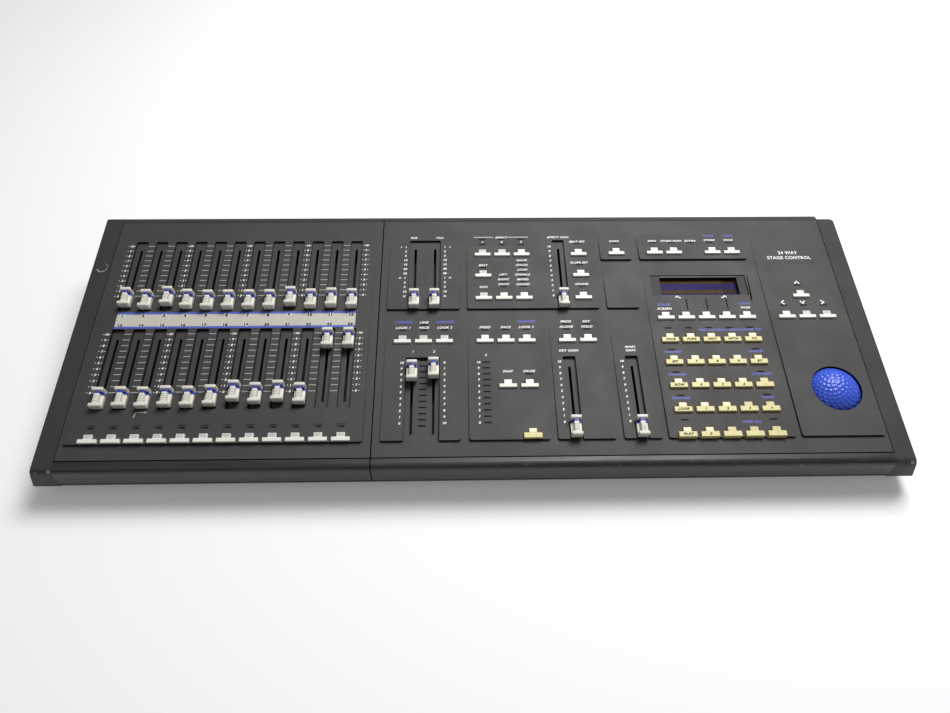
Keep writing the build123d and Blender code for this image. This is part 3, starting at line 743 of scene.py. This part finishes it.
# Words over the playback row
s = PLAY_ROW
for word, x in (("LOOK 1", A_X[0]), ("PACE", A_X[1]), ("LOOK 2", A_X[2]), ("SPEED", B_X[0]), ("PACE", B_X[1]),
                ("LOOK 3", B_X[2]), ("ALONE", D_X[0]), ("HOLD", D_X[1])):
    white.word(word, x, s + 16.0, 2.2)
for word, x in (("LINE", A_X[1]), ("PRESS", D_X[0]), ("KEY", D_X[1])):
    white.word(word, x, s + 21.8, 2.2)
for x in (A_X[0], A_X[2], B_X[2]):
    blue.word("CHANGE", x, s + 22.2, 2.3)
cut, back = KEYS["playback_keys"][8:]
white.word("SNAP", cut[0], CUT_ROW + 15.4, 2.1)
white.word("PAUSE", back[0], CUT_ROW + 15.4, 2.1)
for word, x in (("1", LEVERS["playback_fader_a"][0]), ("2", LEVERS["playback_fader_b"][0])):
    white.word(word, x, CONTROL_ZERO + 71.6, 2.2)
white.word("3", B_X[0], CONTROL_ZERO + 67.4, 2.2)
white.word("KEY GAIN", D_X[0], CONTROL_ZERO + 71.6, 2.2)
white.word("MAIN", E_X, CONTROL_ZERO + 75.0, 2.1)
white.word("GAIN", E_X, CONTROL_ZERO + 71.3, 2.1)

# Display and cursor words, arrows and lead lines
s = SIDE_ROW
blue.word("STAGE", F_X[0], s + 15.6, 2.3)
white.word("SCREEN", F_X[0], s + 11.0, 2.2)
blue.word("CLEAR", F_X[4], s + 16.4, 2.2)
white.word("PAGE", F_X[4] + 0.5, s + 11.8, 2.1)
for x, side in ((F_X[1] - 3.0, 1), (F_X[3] + 1.2, -1)):
    white.stroke([(x - 2.6 * side, s + 25.2), (x + 1.4 * side, s + 23.2)], 1.0)
    white.stroke([(x - 3.0 * side, s + 23.6), (x - 2.6 * side, s + 25.2), (x - 0.8 * side, s + 25.4)], 0.7)
for x in F_X[1:4]:
    black.bar(x + 3.3, s + 15.6, 1.0, 12.6)
CHEVRON = [(-1.9, -1.3), (0.0, 1.3), (1.9, -1.3)]
ARROWS = [(G_X[1], CURSOR_ROW + 16.6, 0)]
ARROWS += [(x, SIDE_ROW + 17.0, turn) for x, turn in zip(G_X, (90, 180, 270))]
for x, s, turn in ARROWS:
    spin = Matrix.Rotation(math.radians(turn), 2)
    white.stroke([tuple(Vector((x, s)) + spin @ Vector(point)) for point in CHEVRON], 1.1)

# Blue second words over the keypad
SECOND_WORDS = [
    (0, 2, "PAST LOOK"), (0, 3, "ALL HIGH"), (0, 4, "RANGE TO"), (1, 0, "CHANGE"), (1, 4, "GROUP"),
    (2, 0, "CHANGE"), (2, 4, "LOW REST"), (3, 0, "CHANGE"), (3, 4, "CLEAR"), (4, 3, "WIPE ALL"),
]
for row, column, word in SECOND_WORDS:
    blue.word(word, F_X[column], KEYPAD_ROWS[row] + 10.6, 2.2)

# A bracket over each flash key's lamp, and a curved black line between the cursor keys and the display that is
# painted shade for the shadowed edge there
for x in SUB_X:
    left, low, high = x - 3.6, FLASH_ROW + 10.4, FLASH_ROW + 12.9
    black.stroke([(left, low), (left, high), (x + 2.6, high)], 0.6)
# Painted shade: the curve thickens towards the front, standing in for the shadowed edge beside the display.
BEND = [(F_X[4] + 9.9 - 1.2 * (step / 6) ** 2, TOP_ZERO + 20.0 - 4.7 * step) for step in range(7)]
for step, (start, stop) in enumerate(zip(BEND, BEND[1:])):
    black.stroke([start, stop], 0.8 + 0.16 * step)

white.finish("white_legends", INK_WHITE)
grey.finish("scale_dashes", INK_GREY)
blue.finish("blue_legends", INK_BLUE)
black.finish("black_lines", INK_BLACK)

# Figures on the keypad keys
KEY_WORDS = [
    ["PACE", "FORE", "PAST", "WITH", "TO"], ["EFF", "7", "8", "9", "BY"], ["ROW", "4", "5", "6", "-"],
    ["LOOK", "1", "2", "3", "+"], ["PLAY", "0", ".", "", "*"],
]
figures = Print()
for row, words in enumerate(KEY_WORDS):
    for column, word in enumerate(words):
        x, s, top, rear = KEYS["keypad_keys"][5 * row + column]
        if word:
            figures.word(word, x, s - 1.9, 2.05, bold=0.06, level=top)
figures.finish("keypad_figures", INK_BLACK, "keypad_keys")

# ---- Indicator lamps: dark windows set in the panel ----
LAMP = (6.6, 1.5, 0.5)
lamps = [(x, TOP_ROW + LAMP_RISE) for x in (D_X[1], E_X, *F_X)]
lamps += [(x, TOP_ROW + rise) for x in B_X for rise in (13.6, 20.0)]
lamps += [(B_X[0], STEP_ROW + 10.9), (D_X[1], STEP_ROW + 13.8), (D_X[1], RUN_ROW + 13.8)]
lamps += [(B_X[1], RUN_ROW + 26.2 - LINE_STEP * line) for line in range(3)]
lamps += [(B_X[2], RUN_ROW + 43.6 - LINE_STEP * line) for line in range(6)]
lamps += [(x, PLAY_ROW + 13.2) for x in A_X + B_X + D_X]
lamps += [(x, PLAY_ROW + 19.0) for x in (A_X[1], *D_X)] + [(back[0], CUT_ROW + 12.6)]
lamps += [(G_X[1], CURSOR_ROW + 13.6)] + [(x, SIDE_ROW + 13.8) for x in G_X]
lamps += [(x, KEYPAD_ROWS[0] + 12.9) for x in F_X]
lamps += [(x, s + 12.9) for s in KEYPAD_ROWS[1:] for x in (F_X[0], F_X[4])]
lamps += [(B_X[0] + 0.4, CONTROL_ZERO + 6 * mark) for mark in range(11)]
middle = (LEVERS["playback_fader_a"][0] + LEVERS["playback_fader_b"][0]) / 2
lamps += [(middle, CONTROL_ZERO - 0.8 + 5.9 * mark) for mark in range(12)]
flash_lamps = [(x, FLASH_ROW + 10.8) for x in SUB_X]
LAMP_DARK = plain("indicator_lamp", tone(6, 6, 7), 0.6, Specular_IOR_Level=0.15)
lamp_points = [(x, s, height(x, s) - LAMP[2] / 2 + 0.08) for x, s in lamps]
piece("indicator_lamps", repeated_box("lamp_row", lamp_points, LAMP, LAMP_DARK), DESK)
lamp_points = [(x, s, height(x, s) - LAMP[2] / 2 + 0.08) for x, s in flash_lamps]
piece("flash_lamps", repeated_box("flash_lamp", lamp_points, (4.4, 1.5, 0.5), LAMP_DARK), DESK)

# ---- Key lenses: a clear window on the back block of each key ----
LENS = (5.6, 3.0, 0.5)
for name, places in KEYS.items():
    lens = LENS_YELLOW if name in ("keypad_keys", "go_key") else LENS_WHITE
    points = [(x, rear - 2.0, top - 0.3 - LENS[2] / 2 + 0.09) for x, s, top, rear in places]
    piece(name + "_lenses", repeated_box(name + "_lens", points, LENS, lens), name)


# ---- Fader caps ----
def cap_shape():
    """Cap, stripe and lever of one fader, with the lever's centre at the origin."""
    shape = bmesh.new()
    half, back, front = 4.8, 7.4, -10.9

    def skirt(corner):
        return Vector((-0.3 * corner.x * 2, 1.6 if corner.y < 0 else -0.2, 0))

    def saddle(corner):
        return Vector((corner.x * 0.9, 0, 0))

    add_rounded_box(shape, (-half, front, -1.2), (half, back, 4.2), 0.5, taper=skirt)
    add_rounded_box(shape, (-half, back - 3.3, 2.4), (half, back, 10.0), 1.1, 4)
    add_rounded_box(shape, (-half, front, 2.2), (half, front + 3.4, 9.4), 1.1, 4)
    add_rounded_box(shape, (-2.1, front + 2.6, 3.6), (2.1, back - 2.6, 8.7), 0.4, taper=saddle)
    for s in (-5.4, -3.7, -2.0, -0.3):
        add_rounded_box(shape, (-1.9, s - 0.4, 8.2), (1.9, s + 0.4, 9.1), 0.25, 2)
    add_rounded_box(shape, (-2.2, 1.5, 3.7), (2.2, 4.3, 8.85), 0.4, taper=saddle, material=1)
    add_rounded_box(shape, (-half - 0.06, 1.3, 1.2), (half + 0.06, 4.3, 4.34), 0.4, material=1)
    add_rounded_box(shape, (-0.7, -2.5, -10.5), (0.7, 2.5, 3.0), 0.0, material=2)
    return shape


CAP = cap_shape()
for name in FADERS:
    x, s = LEVERS[name]
    shape = CAP.copy()
    bmesh.ops.translate(shape, vec=Vector((x, s, 0)), verts=shape.verts)
    mesh = mesh_of(shape, [CAP_CREAM, STRIPE, STEEL], name, smooth=50)
    piece(name + "_cap", mesh, name, [name])


# ---- Trackball ----
def dimpled_ball():
    """Ball with round dimples spread evenly over it."""
    low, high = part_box("trackball")
    centre, radius = (low + high) / 2, (high.x - low.x) / 2
    dimples, size, depth = 620, 0.064, 0.019
    turn = math.pi * (3 - math.sqrt(5))
    spread = []
    for i in range(dimples):
        level = 1 - 2 * (i + 0.5) / dimples
        ring = math.sqrt(1 - level * level)
        spread.append((ring * math.cos(turn * i), ring * math.sin(turn * i), level))
    shape = bmesh.new()
    bmesh.ops.create_icosphere(shape, subdivisions=7, radius=1.0)
    places = np.array([vert.co for vert in shape.verts])
    places /= np.linalg.norm(places, axis=1)[:, None]
    near = np.zeros(len(places))
    spread = np.array(spread)
    for start in range(0, len(places), 4000):
        near[start:start + 4000] = (places[start:start + 4000] @ spread.T).max(1)
    away = np.arccos(np.clip(near, -1, 1)) / size
    sunk = np.where(away < 1, depth * (1 - away ** 2) ** 0.8, 0)
    for vert, place, fall in zip(shape.verts, places, sunk):
        vert.co = centre + Vector(place) * radius * (1 - fall)
    mesh = bpy.data.meshes.new("trackball_dimpled")
    shape.to_mesh(mesh)
    shape.free()
    mesh.shade_smooth()
    mesh.materials.append(ball_plastic())
    return mesh


piece("dimpled_ball", dimpled_ball(), "trackball", ["trackball"])

# ---- Designation strip: blue bands, number boxes and numbers ----
strip_low, strip_high = solids("designation_strip")[0]
BAND = 2.3
strip_width = strip_high[0] - strip_low[0]
strip_x = (strip_high[0] + strip_low[0]) / 2
bands, boxes, numbers = Print(), Print(), Print()
for s in (strip_low[1] + BAND / 2, strip_high[1] - BAND / 2):
    bands.bar(strip_x, s, strip_width, BAND, level=strip_high[2])
for i, x in enumerate(SUB_X):
    for number, s in ((i + 1, strip_high[1] - 3.5), (i + 13, strip_low[1] + 3.5)):
        boxes.bar(x, s, 5.0, 3.4, level=strip_high[2] + 0.03)
        numbers.word(str(number), x, s, 2.6, slant=0.0, bold=0.08, level=strip_high[2] + 0.06)
bands.finish("strip_bands", plain("strip_blue", tone(88, 104, 196), 0.35))
boxes.finish("strip_number_boxes", plain("strip_pale", tone(205, 214, 210), 0.4))
numbers.finish("strip_numbers", INK_BLACK)


# ---- Display: window plates, screen rows and character cells ----
def display_window():
    """Grey side plates beside a recessed screen, and black strips along the screen's top and bottom edges that
    are painted shade for the shadow inside the recess.
    """
    low, high = solids("display_window")[0]
    left, right = low[0] + 8.6, high[0] - 8.0
    shape = bmesh.new()
    floor, top = low[2] - 2.4, high[2]
    add_rounded_box(shape, (low[0], low[1], floor), (left, high[1], top), 0.3)
    add_rounded_box(shape, (right, low[1], floor), (high[0], high[1], top), 0.3)
    bottom_edge, top_edge = low[1] + 1.0, high[1] - 1.8
    # Painted shade: black strips across the top and bottom of the screen stand in for the shadow inside the
    # recess.
    for near, far in ((top_edge, high[1]), (low[1], bottom_edge)):
        add_rounded_box(shape, (left - 0.4, near, floor), (right + 0.4, far, top - 0.1), 0.0, material=1)
    grey_plate = plain("window_plate", tone(56, 56, 58), 0.6, Specular_IOR_Level=0.3)
    return mesh_of(shape, [grey_plate, BLACK], "window"), left, right, bottom_edge, top_edge


window_mesh, screen_left, screen_right, screen_low, screen_high = display_window()
piece("display_window_plates", window_mesh, DESK, ["display_window"])
glass_top = max(box[1][2] for box in solids("display_module"))
cells, rows = [], []
CELL, DOT, DOT_RISE = 2.9, 0.42, 0.52          # character pitch, then dot pitch across and up
for s in (screen_high - 2.4, screen_low + 6.6):
    rows.append(((screen_left + screen_right) / 2, s, glass_top + 0.04))
    for i in range(21):
        x = screen_left + 2.0 + CELL * i
        cells += [(x + DOT * (column - 2), s + DOT_RISE * (row - 3), glass_top + 0.09)
                  for column in range(5) for row in range(7)]
AMBER = plain("display_amber", tone(104, 82, 46), 0.5, Specular_IOR_Level=0.06)
DIM = plain("display_rows", tone(52, 44, 28), 0.5, Specular_IOR_Level=0.06)
row_size = (screen_right - screen_left - 1.0, 4.0, 0.04)
piece("display_rows", repeated_box("display_row", rows, row_size, DIM), DESK)
piece("display_dots", repeated_box("display_dot", cells, (0.34, 0.42, 0.04), AMBER), DESK)

# ---- Title: two plain lines ----
title = Print()
for word, s in (("24 WAY", 212.5), ("STAGE CONTROL", 206.3)):
    title.word(word, G_X[1], s, 3.4, slant=0.0, bold=0.03, stretch=1.0)
title.finish("title", INK_WHITE)

# ---- Studio ----
def studio():
    """Pale floor, soft overhead and front light, pale surroundings."""
    floor_mesh = bpy.data.meshes.new("floor")
    reach = 6.0
    corners = [(-reach, -reach, 0), (reach, -reach, 0), (reach, reach, 0), (-reach, reach, 0)]
    floor_mesh.from_pydata(corners, [], [(0, 1, 2, 3)])
    floor = bpy.data.objects.new("floor", floor_mesh)
    bpy.context.scene.collection.objects.link(floor)
    glow = {"Emission_Color": (1, 1, 1, 1), "Emission_Strength": 0.16}
    floor_mesh.materials.append(Finish("floor", (0.93, 0.93, 0.93), 0.9, **glow).material)
    floor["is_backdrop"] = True
    world = bpy.data.worlds.new("surroundings")
    world.use_nodes = True
    nodes, links = world.node_tree.nodes, world.node_tree.links
    nodes["Background"].inputs[0].default_value = (1.0, 1.0, 1.0, 1)
    fill, backdrop = 0.14, 0.9                 # brightness that lights the desk, and that is seen behind it
    seen = Number(world.node_tree, nodes.new("ShaderNodeLightPath").outputs["Is Camera Ray"])
    links.new((seen * (backdrop - fill) + fill).socket, nodes["Background"].inputs[1])
    bpy.context.scene.world = world
    lights = [("overhead", (0.45, 0.62, 1.45), 0.8, 27.0), ("front", (-0.9, -0.7, 1.6), 0.9, 2.0)]
    for name, place, size, power in lights:
        light = bpy.data.lights.new(name, "AREA")
        light.shape, light.size, light.energy = "SQUARE", size, power
        lamp = bpy.data.objects.new(name, light)
        lamp.location = place
        lamp.rotation_euler = (-Vector(place)).to_track_quat("-Z", "Y").to_euler()
        bpy.context.scene.collection.objects.link(lamp)


def camera():
    """Camera at the operator's side, looking steeply down on the panel."""
    lens = bpy.data.cameras.new("camera")
    lens.lens, lens.sensor_width = 27.485, 36.0
    lens.clip_start = 0.02
    taker = bpy.data.objects.new("camera", lens)
    tilt, turn, roll = (math.radians(angle) for angle in (30.523, -1.232, -0.477))
    spin = Matrix.Rotation(tilt, 4, "X") @ Matrix.Rotation(turn, 4, "Y") @ Matrix.Rotation(roll, 4, "Z")
    place = Matrix.Translation(Vector((-15.45, -234.63, 561.42)) * MM)
    taker.matrix_world = DECK @ place @ spin
    bpy.context.scene.collection.objects.link(taker)
    bpy.context.scene.camera = taker


studio()
camera()
bpy.context.scene.view_settings.view_transform = "Standard"
